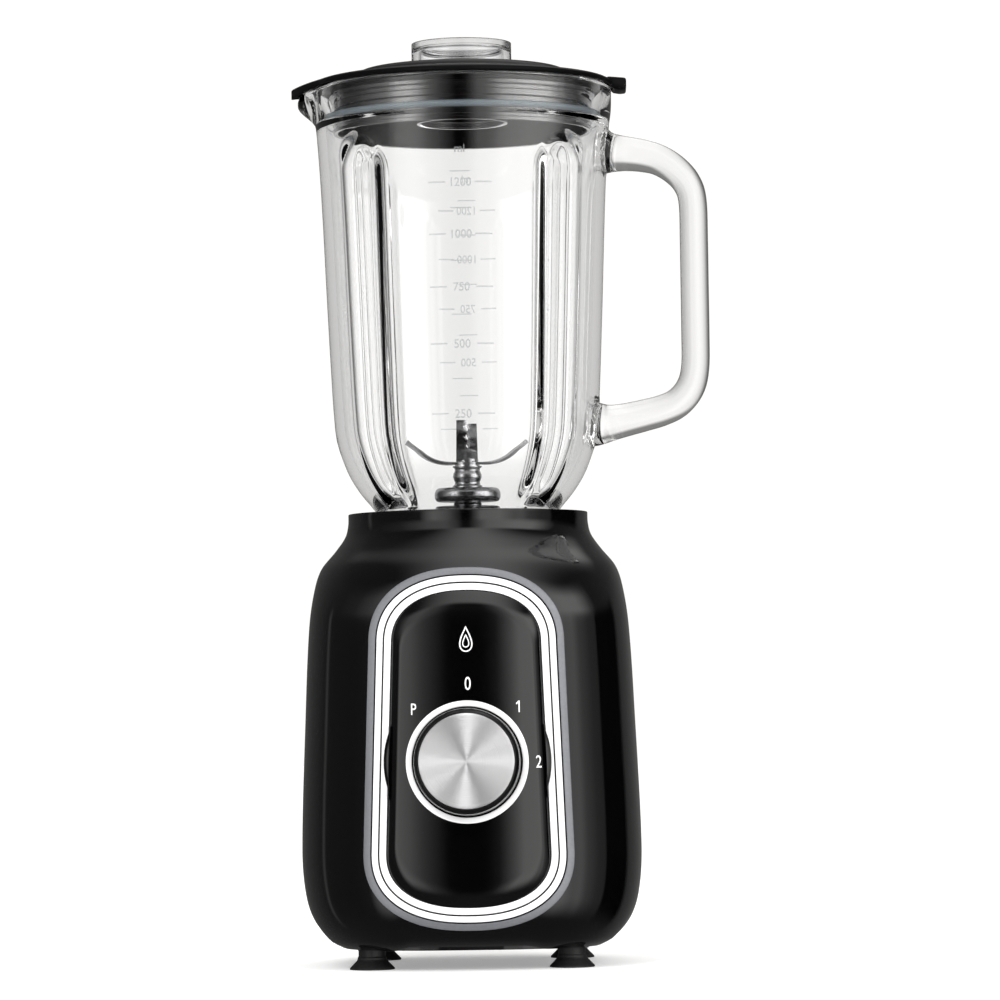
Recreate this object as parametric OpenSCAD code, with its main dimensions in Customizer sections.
// Countertop blender: a motor base with a rotary speed dial, a glass jar with a handle and
// a blade unit, a push-in lid and a measuring cap. Millimetres, +Z up, front towards -Y.
// The origin is on the motor axis, in the plane that the feet stand on.

/* [Base] */
// Half width of the housing at its widest
base_half_w = 74; // [70:0.5:78]
// Height of the housing's lower edge above the table
base_bottom_z = 8.5; // [8:0.5:10]
// Height of the collar that receives the jar
base_top_z = 197; // [196:0.5:198]
// Wall thickness of the housing
wall = 3; // [2.4:0.1:3.4]
// Radius of the recess that the jar sits in
recess_r = 48.6; // [48.4:0.1:49]
// Height of the recess floor
recess_z = 168.5; // [168:0.1:169]

/* [Front panel] */
// Half width of the trim at its top
trim_top_w = 41.7; // [40:0.1:43]
// Half width of the trim at its bottom
trim_bottom_w = 44.8; // [43:0.1:46]
// Lowest point of the trim
trim_low_z = 17.5; // [16:0.5:20]
// Highest point of the trim
trim_high_z = 171.7; // [168:0.1:174]
// Height of the trim's rounded ends
trim_end = 32.7; // [28:0.1:36]
// Height of the dial's centre
dial_z = 89; // [86:0.5:92]
// Upward tilt of the dial, in degrees
dial_tilt = 2; // [0:0.5:3]

/* [Knob] */
// Radius of the turning knob
knob_r = 22.9; // [22:0.1:23]
// How far the knob stands out of the panel
knob_reach = 15.5; // [12:0.5:18]

/* [Jar] */
// Height of the jar's rim
jar_rim_z = 384; // [383:0.5:385]
// Upper face of the jar's glass floor
jar_floor_z = 197; // [196.5:0.5:197]
// Thickness of the glass wall
glass_wall = 4.4; // [4:0.1:5]
// Depth of the handle's grip, front to back
handle_depth = 20; // [16:1:24]

/* [Lid] */
// Radius of the lid's flange
lid_r = 66.5; // [66:0.1:67]
// Radius of the hole for the measuring cap
cap_hole_r = 20.9; // [20.8:0.1:21.2]

/* [Motor] */
// Radius of the armature's steel core
armature_r = 22; // [20:0.5:22]
// Radius of the motor shaft
shaft_r = 4; // [3.5:0.1:4]
// Half width of the stator along X
stator_x = 42; // [41:0.5:43]
// Half width of the stator along Y
stator_y = 34; // [33:0.5:34]

/* [Hidden] */
$fn = 64;

// The housing's silhouette: heights and the share of the half width there.
BASE_SHAPE = [
    [8.5, 0.780], [12, 0.860], [21, 0.941], [34, 0.986], [52, 1.000], [106, 0.973],
    [146, 0.945], [163, 0.914], [173, 0.872], [181, 0.786], [187, 0.730], [192, 0.712],
    [197, 0.7095]
];
// Heights of the rings that the outer and inner faces of the housing are drawn with.
OUTER_RINGS = [8.5, 10, 12, 16, 21, 28, 38, 52, 80, 106, 132, 150, 160, 167, 173, 177, 181,
    184, 187, 190, 193, 197];
INNER_RINGS = [8.5, 16, 28, 52, 100, 140, 160, 170, 177, 182, 186];
RING_POINTS = 48;
SQUARE_N = 3;             // superellipse exponent of the housing's plan
ROUND_FROM = 150;         // above this height the plan turns from square to round
ROUND_BY = 188;

END_N = 2.3;              // superellipse exponent of the trim's rounded ends
TRIM_STEPS = 14;          // points in each quarter of the trim's outline
TRIM_OFF = 0.35;          // gap between the housing's surface and what lies on it
BANDS = [3.0, 3.6, 6.2, 6.9, 9.8];   // insets: trim, gap, outer bezel, gap, inner bezel
trim_proud = 1.0;
bezel_proud = 1.6;
panel_proud = 3.6;
panel_thick = 2.6;
boss_r = 35.7;
dial_y = -76.2;
ring_r = 26;
ring_in_r = 23.4;
ring_sunk = 1.4;         // depth of the ring's seat in the panel

FEET = [43, 37];          // half spacing of the feet along X and Y
plate_z = 8.5;
plate_top_z = 11;
SCREW_POSTS = [47, 14];   // half spacing of the posts that take the base screws
gland_z = 27;
cord_r = 3.5;

STACK = [78, 112];        // lower and upper face of the steel stack
MOTOR_POSTS = [40, 24];   // half spacing of the posts that the motor hangs from
post_z = 141;
lower_plate_z = 50;
upper_plate_z = 135;
bracket_t = 3;
hub_r = 13;
bearing_r = 11;
fit = 0.04;               // radial clearance of a shaft in its bearing
commutator_z = [57, 70];
brush_z = 63.5;

// The jar's outer face: radii and heights, from the foot to the rim.
JAR_OUT = [
    [38.5, 190], [39.2, 196], [41.5, 199.5], [46.8, 206], [51.2, 213], [54.4, 220.5],
    [57.2, 230], [58.2, 240], [59, 254], [60.5, 287], [62.6, 337.6], [64.4, 365.6],
    [65.5, 373.5], [65.8, 384]
];
jar_hole_r = 9.3;
jar_under_z = 192.5;
FLUTES = [45, 135, 225, 315];
flute_r = 11;
flute_depth = 3.2;
handle_in_x = 95.2;
handle_out_x = 107.7;
coupling_r = 14;
spindle_r = 3;

// ---------------------------------------------------------------- shape functions

// Index of the last row of a table whose first column isn't above v.
function row_at(table, v, i = 0) =
    i >= len(table) - 2 || table[i + 1][0] > v ? i : row_at(table, v, i + 1);

// Slope of a table at row i, from its neighbours.
function slope_at(table, i) =
    let (a = table[max(i - 1, 0)], b = table[min(i + 1, len(table) - 1)])
    (b[1] - a[1]) / (b[0] - a[0]);

// Smooth curve through a table of [place, value] rows.
function smooth(table, v) =
    let (
        i = row_at(table, v),
        a = table[i],
        b = table[i + 1],
        h = b[0] - a[0],
        t = min(max((v - a[0]) / h, 0), 1)
    )
    a[1] * (1 + 2 * t) * pow(1 - t, 2) + b[1] * t * t * (3 - 2 * t)
    + h * slope_at(table, i) * t * pow(1 - t, 2) - h * slope_at(table, i + 1) * t * t * (1 - t);

function half_w(z) = base_half_w * smooth(BASE_SHAPE, z);

function plan_n(z) =
    let (t = min(max((z - ROUND_FROM) / (ROUND_BY - ROUND_FROM), 0), 1))
    SQUARE_N + (2 - SQUARE_N) * t * t * (3 - 2 * t);

function signed_pow(v, e) = sign(v) * pow(abs(v), e);

// Height z's plan, drawn inwards by inset.
function ring(z, inset) =
    let (w = half_w(z) - inset, e = 2 / plan_n(z))
    [for (i = [0 : RING_POINTS - 1])
        let (a = 360 * i / RING_POINTS)
        [w * signed_pow(cos(a), e), w * signed_pow(sin(a), e), z]];

// y of the housing's front face at x, z.
function front_y(x, z) =
    let (w = half_w(z), n = plan_n(z))
    -w * pow(max(1 - pow(abs(x) / w, n), 0), 1 / n);

// Outline of the trim, [x, z] points counter-clockwise seen from the front, drawn inwards
// by inset: two half superellipses joined by straight sides.
function trim_outline(inset, scale = 1) =
    let (
        mid_z = (trim_low_z + trim_high_z) / 2,
        top = [for (i = [0 : 2 * TRIM_STEPS]) let (a = 90 * i / TRIM_STEPS)
            [(trim_top_w - inset) * signed_pow(cos(a), 2 / END_N),
             trim_high_z - trim_end + (trim_end - inset) * signed_pow(sin(a), 2 / END_N)]],
        low = [for (i = [0 : 2 * TRIM_STEPS]) let (a = 180 + 90 * i / TRIM_STEPS)
            [(trim_bottom_w - inset) * signed_pow(cos(a), 2 / END_N),
             trim_low_z + trim_end + (trim_end - inset) * signed_pow(sin(a), 2 / END_N)]],
        // Points along the straight sides let them follow the housing's curve.
        left = [for (t = [0.2 : 0.2 : 0.81]) top[2 * TRIM_STEPS] * (1 - t) + low[0] * t],
        right = [for (t = [0.2 : 0.2 : 0.81]) low[2 * TRIM_STEPS] * (1 - t) + top[0] * t]
    )
    [for (p = concat(top, left, low, right)) [p[0] * scale, mid_z + (p[1] - mid_z) * scale]];

// Points of an outline laid on the housing's front, standing out of it by proud.
function on_front(outline, proud) =
    [for (p = outline) [p[0], front_y(p[0], p[1]) - proud, p[1]]];

// ---------------------------------------------------------------- general modules

// Closed skin over a list of loops with equal counts, each loop joined to the next. The
// loops close on themselves, or end in flat caps.
module skin(loops, capped) {
    n = len(loops[0]);
    m = len(loops);
    last = capped ? m - 2 : m - 1;
    sides = [for (j = [0 : last]) for (i = [0 : n - 1])
        let (a = j * n + i, b = j * n + (i + 1) % n, k = (j + 1) % m)
        each [[a, k * n + i, k * n + (i + 1) % n], [a, k * n + (i + 1) % n, b]]];
    caps = capped ? [[for (i = [0 : n - 1]) i],
        [for (i = [0 : n - 1]) (m - 1) * n + n - 1 - i]] : [];
    polyhedron([for (l = loops) each l], concat(sides, caps), convexity = 8);
}

// A band on the front between two insets of the trim's outline.
module front_band(outer, inner, proud) {
    skin([
        on_front(trim_outline(outer), TRIM_OFF),
        on_front(trim_outline(outer), proud),
        on_front(trim_outline(inner), proud),
        on_front(trim_outline(inner), TRIM_OFF)
    ], false);
}

// Places its children on the dial, with local +Z out of the panel.
module on_dial() {
    translate([0, dial_y, dial_z])
        rotate([90 - dial_tilt, 0, 0])
            children();
}

module at_corners(half) {
    for (x = [-1, 1], y = [-1, 1])
        translate([x * half[0], y * half[1], 0])
            children();
}

module tube(r_out, r_in, z0, z1) {
    translate([0, 0, z0])
        difference() {
            cylinder(r = r_out, h = z1 - z0);
            translate([0, 0, -1])
                cylinder(r = r_in, h = z1 - z0 + 2);
        }
}

module box(low, high) {
    translate(low)
        cube(high - low);
}

// ---------------------------------------------------------------- housing

module housing_shell() {
    skin(concat(
        [for (i = [len(INNER_RINGS) - 1 : -1 : 0]) ring(INNER_RINGS[i], wall)],
        [for (z = OUTER_RINGS) ring(z, 0)]
    ), true);
}

module housing() {
    color([0.05, 0.05, 0.055])
        difference() {
            union() {
                housing_shell();
                translate([0, 0, recess_z - wall])
                    cylinder(r = recess_r + wall - 0.2, h = base_top_z - recess_z + wall - 0.5);
                at_corners(SCREW_POSTS)
                    translate([0, 0, plate_top_z])
                        cylinder(r = 4.5, h = 20);
                // Webs that tie the screw posts to the side walls.
                for (side = [0, 180], y = [-1, 1])
                    rotate(side)
                        translate([0, y * SCREW_POSTS[1], 0])
                            box([SCREW_POSTS[0] + 4, -1.2, plate_top_z], [60.5, 1.2, 26]);
                at_corners(MOTOR_POSTS)
                    translate([0, 0, post_z])
                        cylinder(r = 5, h = recess_z - post_z - 1);
            }
            translate([0, 0, recess_z])
                cylinder(r = recess_r, h = 60);
            translate([0, 0, recess_z - 10])
                cylinder(r = 9, h = 20);
            at_corners(SCREW_POSTS)
                translate([0, 0, plate_top_z - 1])
                    cylinder(r = 1.6, h = 16);
            at_corners(MOTOR_POSTS)
                translate([0, 0, post_z - 1])
                    cylinder(r = 1.8, h = 16);
            // Opening behind the dial for the switch's neck.
            on_dial()
                translate([0, 0, -14])
                    cylinder(r = 8, h = 20);
            // Seat and hole for the cord gland.
            translate([0, 0, gland_z])
                rotate([-90, 0, 0]) {
                    translate([0, 0, 55])
                        cylinder(r = 6.6, h = 30);
                    translate([0, 0, 69.5])
                        cylinder(r = 10, h = 10);
                }
        }
}

module base_plate() {
    color([0.07, 0.07, 0.07])
        difference() {
            translate([0, 0, plate_z])
                linear_extrude(plate_top_z - plate_z)
                    polygon([for (p = ring(base_bottom_z, wall + 0.6)) [p[0], p[1]]]);
            at_corners(FEET)
                cylinder(r = 3.2, h = 20);
            at_corners(SCREW_POSTS)
                cylinder(r = 1.9, h = 20);
            for (i = [-4 : 4])
                translate([i * 6 - 1.5, -20, 0])
                    cube([3, 40, 20]);
        }
}

module base_screws() {
    color([0.6, 0.6, 0.62])
        at_corners(SCREW_POSTS) {
            translate([0, 0, plate_z - 1.6])
                cylinder(r = 3.2, h = 1.6);
            translate([0, 0, plate_z])
                cylinder(r = 1.5, h = 12);
        }
}

module suction_feet() {
    color([0.06, 0.06, 0.06])
        at_corners(FEET)
            rotate_extrude()
                polygon([
                    [0, 1.6], [6, 1.2], [8.4, 0], [9.7, 0], [9.7, 0.9], [9.2, 2], [6.6, 4.2],
                    [6, 5], [6, plate_z], [3, plate_z], [3, plate_top_z + 0.1],
                    [4.5, plate_top_z + 0.1],
                    [4, plate_top_z + 1.6], [0, plate_top_z + 1.6]
                ]);
}

module cord_gland() {
    color([0.08, 0.08, 0.08])
        translate([0, 0, gland_z])
            rotate([-90, 0, 0]) {
                tube(6.5, cord_r, 60, 69.5);
                tube(9, cord_r, 69.5, 73);
                tube(7.6, cord_r, 62, 65);
            }
}

module cord_clamp() {
    color([0.15, 0.15, 0.15])
        difference() {
            box([-9, 46, plate_top_z], [9, 56, gland_z + 7]);
            translate([0, 40, gland_z])
                rotate([-90, 0, 0])
                    cylinder(r = cord_r, h = 30);
        }
}

// ---------------------------------------------------------------- front panel and dial

module outer_trim() {
    color([0.57, 0.57, 0.59])
        front_band(0, BANDS[0], trim_proud);
}

module bezel_outer() {
    color([0.93, 0.93, 0.94])
        front_band(BANDS[1], BANDS[2], bezel_proud);
}

module bezel_inner() {
    color([0.93, 0.93, 0.94])
        front_band(BANDS[3], BANDS[4], bezel_proud);
}

module control_panel() {
    inset = BANDS[4] + 0.35;
    shares = [0.3, 0.55, 0.78, 0.93];
    back = panel_proud - panel_thick;
    color([0.04, 0.04, 0.045])
        difference() {
            skin(concat(
                [for (s = shares) on_front(trim_outline(inset, s), back)],
                [on_front(trim_outline(inset), back), on_front(trim_outline(inset), bezel_proud)],
                [for (i = [3 : -1 : 0]) on_front(trim_outline(inset, shares[i]), panel_proud)]
            ), true);
            on_dial() {
                translate([0, 0, -12])
                    cylinder(r = 6.5, h = 30);
                translate([0, 0, -ring_sunk])
                    cylinder(r = ring_r + 0.05, h = 20);
            }
        }
}

// Round boss behind the panel, seen as a lug on each side of it.
module knob_boss() {
    color([0.05, 0.05, 0.05])
        difference() {
            on_dial()
                translate([0, 0, -3.9])
                    cylinder(r = boss_r, h = 1.8, $fn = 240);
            translate([0, -60, 0])
                rotate([90, 0, 0])
                    linear_extrude(60)
                        polygon(trim_outline(BANDS[4] + 0.15));
        }
}

module dial_ring() {
    color([0.93, 0.93, 0.94])
        on_dial()
            tube(ring_r, ring_in_r, -ring_sunk, 1.6);
}

module knob_body() {
    color([0.05, 0.05, 0.05])
        on_dial()
            difference() {
                rotate_extrude()
                    polygon([
                        [0, 0.4], [knob_r, 0.4], [knob_r - 0.6, knob_reach - 1.4],
                        [knob_r - 1.8, knob_reach], [20.4, knob_reach],
                        [20.4, knob_reach - 0.8], [0, knob_reach - 0.8]
                    ]);
                translate([0, 0, -1])
                    cylinder(r = spindle_r, h = 11);
            }
}

module knob_face() {
    color([0.75, 0.75, 0.76])
        on_dial()
            translate([0, 0, knob_reach - 0.8])
                cylinder(r = 20.2, h = 1.2);
}

module switch_shaft() {
    color([0.7, 0.7, 0.7])
        on_dial()
            translate([0, 0, -30])
                cylinder(r = spindle_r, h = 40);
}

module switch_body() {
    color([0.85, 0.82, 0.75])
        on_dial()
            difference() {
                union() {
                    translate([-15, -15, -31])
                        cube([30, 30, 24]);
                    translate([0, 0, -8])
                        cylinder(r = 5.8, h = 6);
                }
                translate([0, 0, -30.2])
                    cylinder(r = spindle_r + fit, h = 40);
            }
}

// ---------------------------------------------------------------- motor, moving

// Star outline of the drive: a round core with rounded lobes.
module star(lobes, core, tip, lobe_r) {
    circle(r = core);
    for (i = [0 : lobes - 1])
        rotate(360 * i / lobes) {
            translate([tip - lobe_r, 0])
                circle(r = lobe_r);
            translate([0, -lobe_r])
                square([tip - lobe_r, 2 * lobe_r]);
        }
}

module drive_coupling() {
    color([0.12, 0.12, 0.12])
        difference() {
            union() {
                translate([0, 0, 170])
                    cylinder(r = 11, h = 2);
                translate([0, 0, 172])
                    linear_extrude(8)
                        star(6, 6.5, 10.5, 1.8);
            }
            translate([0, 0, 169])
                cylinder(r = shaft_r, h = 9);
        }
}

module armature_shaft() {
    color([0.7, 0.7, 0.72])
        translate([0, 0, 44])
            cylinder(r = shaft_r, h = 178 - 44);
}

module armature_core() {
    slots = 12;
    color([0.5, 0.5, 0.52])
        difference() {
            tube(armature_r, shaft_r, STACK[0], STACK[1]);
            for (i = [0 : slots - 1])
                rotate(360 * i / slots) {
                    translate([14, -1.6, STACK[0] - 1])
                        cube([4.5, 3.2, STACK[1] - STACK[0] + 2]);
                    translate([18, -0.7, STACK[0] - 1])
                        cube([5, 1.4, STACK[1] - STACK[0] + 2]);
                }
        }
}

module armature_windings() {
    color([0.72, 0.4, 0.2]) {
        tube(19, shaft_r, STACK[1], STACK[1] + 8);
        tube(19, shaft_r, STACK[0] - 6, STACK[0]);
    }
}

module commutator() {
    color([0.8, 0.5, 0.3])
        tube(11, shaft_r, commutator_z[0], commutator_z[1]);
}

module cooling_fan() {
    blades = 9;
    color([0.1, 0.1, 0.1])
        union() {
            tube(9, shaft_r, 125, 133);
            tube(32, 8.9, 125, 126.5);
            for (i = [0 : blades - 1])
                rotate(360 * i / blades)
                    translate([8.5, 0, 126])
                        rotate(20)
                            cube([21, 1.4, 6.5]);
        }
}

// ---------------------------------------------------------------- motor, fixed

module stator_core() {
    color([0.45, 0.45, 0.47])
        difference() {
            box([-stator_x, -stator_y, STACK[0]], [stator_x, stator_y, STACK[1]]);
            translate([0, 0, STACK[0] - 1])
                cylinder(r = armature_r + 0.6, h = 50);
            for (x = [-1, 1], y = [-1, 1])
                scale([x, y, 1])
                    translate([20, 12, STACK[0] - 1])
                        cube([13, 14, 50]);
            at_corners([stator_x, stator_y])
                rotate(45)
                    translate([-6, -6, STACK[0] - 1])
                        cube([12, 12, 50]);
        }
}

module field_coils() {
    color([0.72, 0.4, 0.2])
        for (side = [-1, 1])
            scale([side, 1, 1])
                difference() {
                    box([24.5, -25.5, STACK[0] - 9], [32.5, 25.5, STACK[1] + 9]);
                    box([24, -12, STACK[0] - 0.1], [33, 12, STACK[1] + 0.1]);
                }
}

// Plate with a bearing hub and two legs that reach the stack.
module bracket(plate_z, hub, legs) {
    difference() {
        union() {
            box([-stator_x, -12, plate_z], [stator_x, 12, plate_z + bracket_t]);
            translate([0, 0, hub[0]])
                cylinder(r = hub_r, h = hub[1] - hub[0]);
            for (side = [-1, 1])
                scale([side, 1, 1])
                    box([stator_x - 5, -12, legs[0]], [stator_x, 12, legs[1]]);
            children();
        }
        translate([0, 0, hub[0] - 1])
            cylinder(r = bearing_r, h = hub[1] - hub[0] + 2);
    }
}

module lower_bracket() {
    color([0.66, 0.66, 0.68])
        bracket(lower_plate_z, [46, 54], [lower_plate_z, STACK[0]])
            box([-10, -stator_y, lower_plate_z], [10, stator_y, lower_plate_z + bracket_t]);
}

module upper_bracket() {
    color([0.66, 0.66, 0.68])
        difference() {
            bracket(upper_plate_z, [upper_plate_z, upper_plate_z + 9], [STACK[1], upper_plate_z])
                at_corners([MOTOR_POSTS[0], 0])
                    box([-5, -MOTOR_POSTS[1] - 6, upper_plate_z],
                        [7, MOTOR_POSTS[1] + 6, upper_plate_z + bracket_t]);
            at_corners(MOTOR_POSTS)
                translate([0, 0, upper_plate_z - 1])
                    cylinder(r = 4, h = 8);
        }
}

module lower_bearing() {
    color([0.75, 0.75, 0.77])
        tube(bearing_r, shaft_r + fit, 46, 53);
}

module upper_bearing() {
    color([0.75, 0.75, 0.77])
        tube(bearing_r, shaft_r + fit, upper_plate_z + 1, upper_plate_z + 8);
}

module brush_holders() {
    color([0.75, 0.6, 0.3])
        for (side = [-1, 1])
            scale([1, side, 1])
                difference() {
                    box([-5.5, 14, lower_plate_z + bracket_t], [5.5, 34, brush_z + 5]);
                    box([-3.5, 13, brush_z - 3], [3.5, 32, brush_z + 3]);
                }
}

module carbon_brushes() {
    color([0.1, 0.1, 0.1])
        for (side = [-1, 1])
            scale([1, side, 1])
                difference() {
                    box([-3.4, 9, brush_z - 2.9], [3.4, 24, brush_z + 2.9]);
                    translate([0, 0, brush_z - 5])
                        cylinder(r = 11.08, h = 10);
                }
}

module brush_springs() {
    color([0.7, 0.7, 0.7])
        for (side = [-1, 1])
            scale([1, side, 1])
                translate([0, 24, brush_z])
                    rotate([-90, 0, 0])
                        tube(2.4, 1.6, 0, 8);
}

module motor_grommets() {
    color([0.08, 0.08, 0.08])
        at_corners(MOTOR_POSTS) {
            tube(3.9, 2, upper_plate_z - 0.5, post_z - 2.5);
            tube(6, 2, post_z - 3, post_z);
            tube(6, 2, upper_plate_z - 2.6, upper_plate_z);
        }
}

module motor_screws() {
    color([0.6, 0.6, 0.62])
        at_corners(MOTOR_POSTS) {
            translate([0, 0, upper_plate_z - 2.6])
                cylinder(r = 1.7, h = 18);
            translate([0, 0, upper_plate_z - 4.6])
                cylinder(r = 4, h = 2);
        }
}

module circuit_board() {
    color([0.1, 0.35, 0.15])
        box([-25, 38, plate_top_z], [25, 39.6, plate_top_z + 34]);
}

module bridge_rectifier() {
    color([0.12, 0.12, 0.12])
        box([-8, 33, plate_top_z + 12], [8, 38, plate_top_z + 26]);
}

module coupling_seal() {
    color([0.1, 0.1, 0.1]) {
        tube(8.9, shaft_r + 0.4, recess_z - wall + 0.2, recess_z);
        tube(11, shaft_r + 0.4, recess_z, recess_z + 1.2);
    }
}

// ---------------------------------------------------------------- jar

// Radius of the jar's outer face at height z.
function jar_r(z) = smooth([for (p = JAR_OUT) [p[1], p[0]]], z);

module jar_solid(inset, z0, z1) {
    step = (z1 - z0) / 40;
    rotate_extrude()
        polygon(concat(
            [[0, z0]],
            [for (i = [0 : 40]) [jar_r(z0 + i * step) - inset, z0 + i * step]],
            [[0, z1]]
        ));
}

// Outline of the handle in the X, Z plane, with round bends.
module handle_outline() {
    difference() {
        polygon(concat(
            [[60, 366], [66, 363.6], [85.6, 359.7]],
            [for (a = [70 : -14 : 0]) [88.7 + 19 * cos(a), 338 + 19 * sin(a)]],
            [for (a = [0 : -12 : -60]) [86.7 + 21 * cos(a), 255.5 + 21 * sin(a)]],
            [[80, 232.5], [64, 228.6], [56, 222]]
        ));
        polygon(concat(
            [[57, 343], [66, 346], [73.7, 347]],
            [for (a = [80 : -16 : 0]) [83.2 + 12 * cos(a), 334 + 12 * sin(a)]],
            [for (a = [0 : -15 : -75]) [86.2 + 9 * cos(a), 257 + 9 * sin(a)]],
            [[68.1, 242.9], [63.3, 243.3], [55, 250]]
        ));
    }
}

module glass_jar() {
    color([0.85, 0.9, 0.92, 0.5])
        difference() {
            union() {
                jar_solid(0, 190, jar_rim_z);
                rotate([90, 0, 0])
                    linear_extrude(handle_depth, center = true)
                        handle_outline();
                translate([-58, 0, 366])
                    cylinder(r1 = 8, r2 = 14.4, h = 15);
            }
            // The hollow, kept clear of an inner rib behind each flute.
            difference() {
                jar_solid(glass_wall, jar_floor_z, jar_rim_z);
                for (a = FLUTES)
                    rotate(a)
                        translate([51, 0, 200])
                            rotate([0, 2.9, 0])
                                cylinder(r = 5.5, h = 155);
            }
            // Wider mouth that takes the lid's gasket.
            translate([0, 0, 362])
                cylinder(r = 62.5, h = 30);
            for (a = FLUTES)
                rotate(a)
                    translate([flute_r - flute_depth + 54.5, 0, 205])
                        rotate([0, 2.9, 0])
                            cylinder(r = flute_r, h = 150);
            translate([-58, 0, 370])
                cylinder(r1 = 5.5, r2 = 11.6, h = 14.1);
            translate([0, 0, 180])
                cylinder(r = 30, h = jar_under_z - 180);
            translate([0, 0, 180])
                cylinder(r = jar_hole_r, h = 30);
            translate([-90, -40, jar_rim_z - 0.2])
                cube([40, 80, 10]);
        }
}

module jar_base() {
    color([0.05, 0.05, 0.05])
        rotate_extrude()
            polygon([
                [30, recess_z], [47.6, recess_z], [47.6, 195], [46.4, 197.5], [41, 197.5],
                [40.1, 196], [38.8, 190], [30, 190]
            ]);
}

module jar_seal() {
    color([0.55, 0.55, 0.57])
        tube(11.8, jar_hole_r, jar_floor_z, jar_floor_z + 1);
}

module bearing_housing() {
    base_z = jar_floor_z + 1;
    color([0.78, 0.78, 0.8])
        difference() {
            rotate_extrude()
                polygon([
                    [0, 186], [8.9, 186], [8.9, base_z], [11.8, base_z], [11.8, base_z + 1.2],
                    [6, base_z + 1.8], [6, 203.4], [13.2, 203.4], [14.5, 204.6], [14.5, 207.2],
                    [13.2, 208.5], [6.6, 208.5], [6, 209.5], [6, 216], [5.2, 217], [0, 217]
                ]);
            translate([0, 0, 180])
                cylinder(r = 4.6, h = 40);
        }
}

module blade_bearing() {
    color([0.72, 0.55, 0.3])
        tube(4.6, spindle_r + fit, 187, 216.6);
}

module retaining_nut() {
    color([0.75, 0.75, 0.77])
        difference() {
            translate([0, 0, jar_under_z - 6])
                cylinder(r = 15, h = 6, $fn = 6);
            translate([0, 0, jar_under_z - 7])
                cylinder(r = 8.9, h = 8);
        }
}

// ---------------------------------------------------------------- blades

module blade_spindle() {
    color([0.7, 0.7, 0.72])
        translate([0, 0, 180.5])
            cylinder(r = spindle_r, h = 223 - 180.5);
}

// Side view of one wing of a bent blade: flat at the hub, then rising at its slope.
module wing(reach, rise, half_depth, thick) {
    rotate([90, 0, 0])
        linear_extrude(2 * half_depth, center = true)
            polygon([
                [3, 0], [9, 0], [reach, rise], [reach - 0.6, rise + thick], [8.6, thick],
                [3, thick]
            ]);
}

module blade_pair(z, reach, rise, half_depth) {
    translate([0, 0, z])
        difference() {
            union() {
                cylinder(r = 6.5, h = 1.6);
                for (side = [0, 180])
                    rotate(side)
                        wing(reach, rise, half_depth, 1.6);
            }
            translate([0, 0, -1])
                cylinder(r = spindle_r, h = 5);
        }
}

module lateral_blade() {
    color([0.8, 0.8, 0.82])
        blade_pair(217.5, 26.4, 11.5, 5);
}

module upright_blade() {
    color([0.8, 0.8, 0.82])
        rotate(90)
            blade_pair(219.1, 18, 17, 4);
}

module blade_washer() {
    color([0.75, 0.75, 0.77])
        tube(5.5, spindle_r, 217.1, 217.5);
}

module blade_nut() {
    color([0.75, 0.75, 0.77])
        difference() {
            translate([0, 0, 220.7])
                cylinder(r = 5.2, h = 4, $fn = 6);
            translate([0, 0, 219])
                cylinder(r = spindle_r, h = 4);
        }
}

module jar_coupling() {
    color([0.12, 0.12, 0.12])
        difference() {
            translate([0, 0, 172.6])
                cylinder(r = coupling_r, h = 12.4);
            translate([0, 0, 171])
                linear_extrude(9.5)
                    star(6, 7, 11.2, 2.4);
            translate([0, 0, 180.5])
                cylinder(r = spindle_r, h = 10);
        }
}

// ---------------------------------------------------------------- lid and cap

module lid() {
    color([0.06, 0.06, 0.065])
        difference() {
            union() {
                rotate_extrude()
                    polygon([
                        [0, 384], [54.5, 384], [54.5, 364], [57, 364], [57, 369.4], [56, 369.4],
                        [56, 372.8], [57, 372.8], [57, 384], [lid_r, 384], [lid_r, 386.2],
                        [lid_r - 1.2, 387.4], [48, 388.5], [46.2, 390.8], [44.5, 391.6], [0, 391.6]
                    ]);
                // Finger tab on the handle's side and cover over the spout.
                box([50, -9, 384], [72.5, 9, 388]);
                hull() {
                    translate([-56, 0, 384])
                        cylinder(r = 18, h = 4, $fn = 32);
                    translate([-64.2, 0, 384])
                        cylinder(r = 11, h = 3.4, $fn = 32);
                }
            }
            translate([0, 0, 360])
                cylinder(r = cap_hole_r, h = 50);
            // Hollow underside.
            tube(43, cap_hole_r + 2.4, 383, 388.4);
        }
}

module lid_gasket() {
    color([0.62, 0.68, 0.72])
        tube(62.2, 56.05, 369.5, 372.7);
}

module measuring_cap() {
    color([0.9, 0.93, 0.95, 0.5])
        rotate_extrude()
            polygon([
                [0, 402], [17.8, 402], [18.6, 401], [18.4, 368.6], [20.5, 368.6], [20.6, 391.6],
                [22, 391.6], [22, 402.6], [21, 404.4], [0, 404.4]
            ]);
}

housing();
base_plate();
base_screws();
suction_feet();
cord_gland();
cord_clamp();
outer_trim();
bezel_outer();
bezel_inner();
control_panel();
knob_boss();
dial_ring();
knob_body();
knob_face();
switch_shaft();
switch_body();
coupling_seal();
drive_coupling();
armature_shaft();
armature_core();
armature_windings();
commutator();
cooling_fan();
stator_core();
field_coils();
lower_bracket();
upper_bracket();
lower_bearing();
upper_bearing();
brush_holders();
carbon_brushes();
brush_springs();
motor_grommets();
motor_screws();
circuit_board();
bridge_rectifier();
glass_jar();
jar_base();
jar_seal();
bearing_housing();
blade_bearing();
retaining_nut();
blade_spindle();
lateral_blade();
upright_blade();
blade_washer();
blade_nut();
jar_coupling();
lid();
lid_gasket();
measuring_cap();
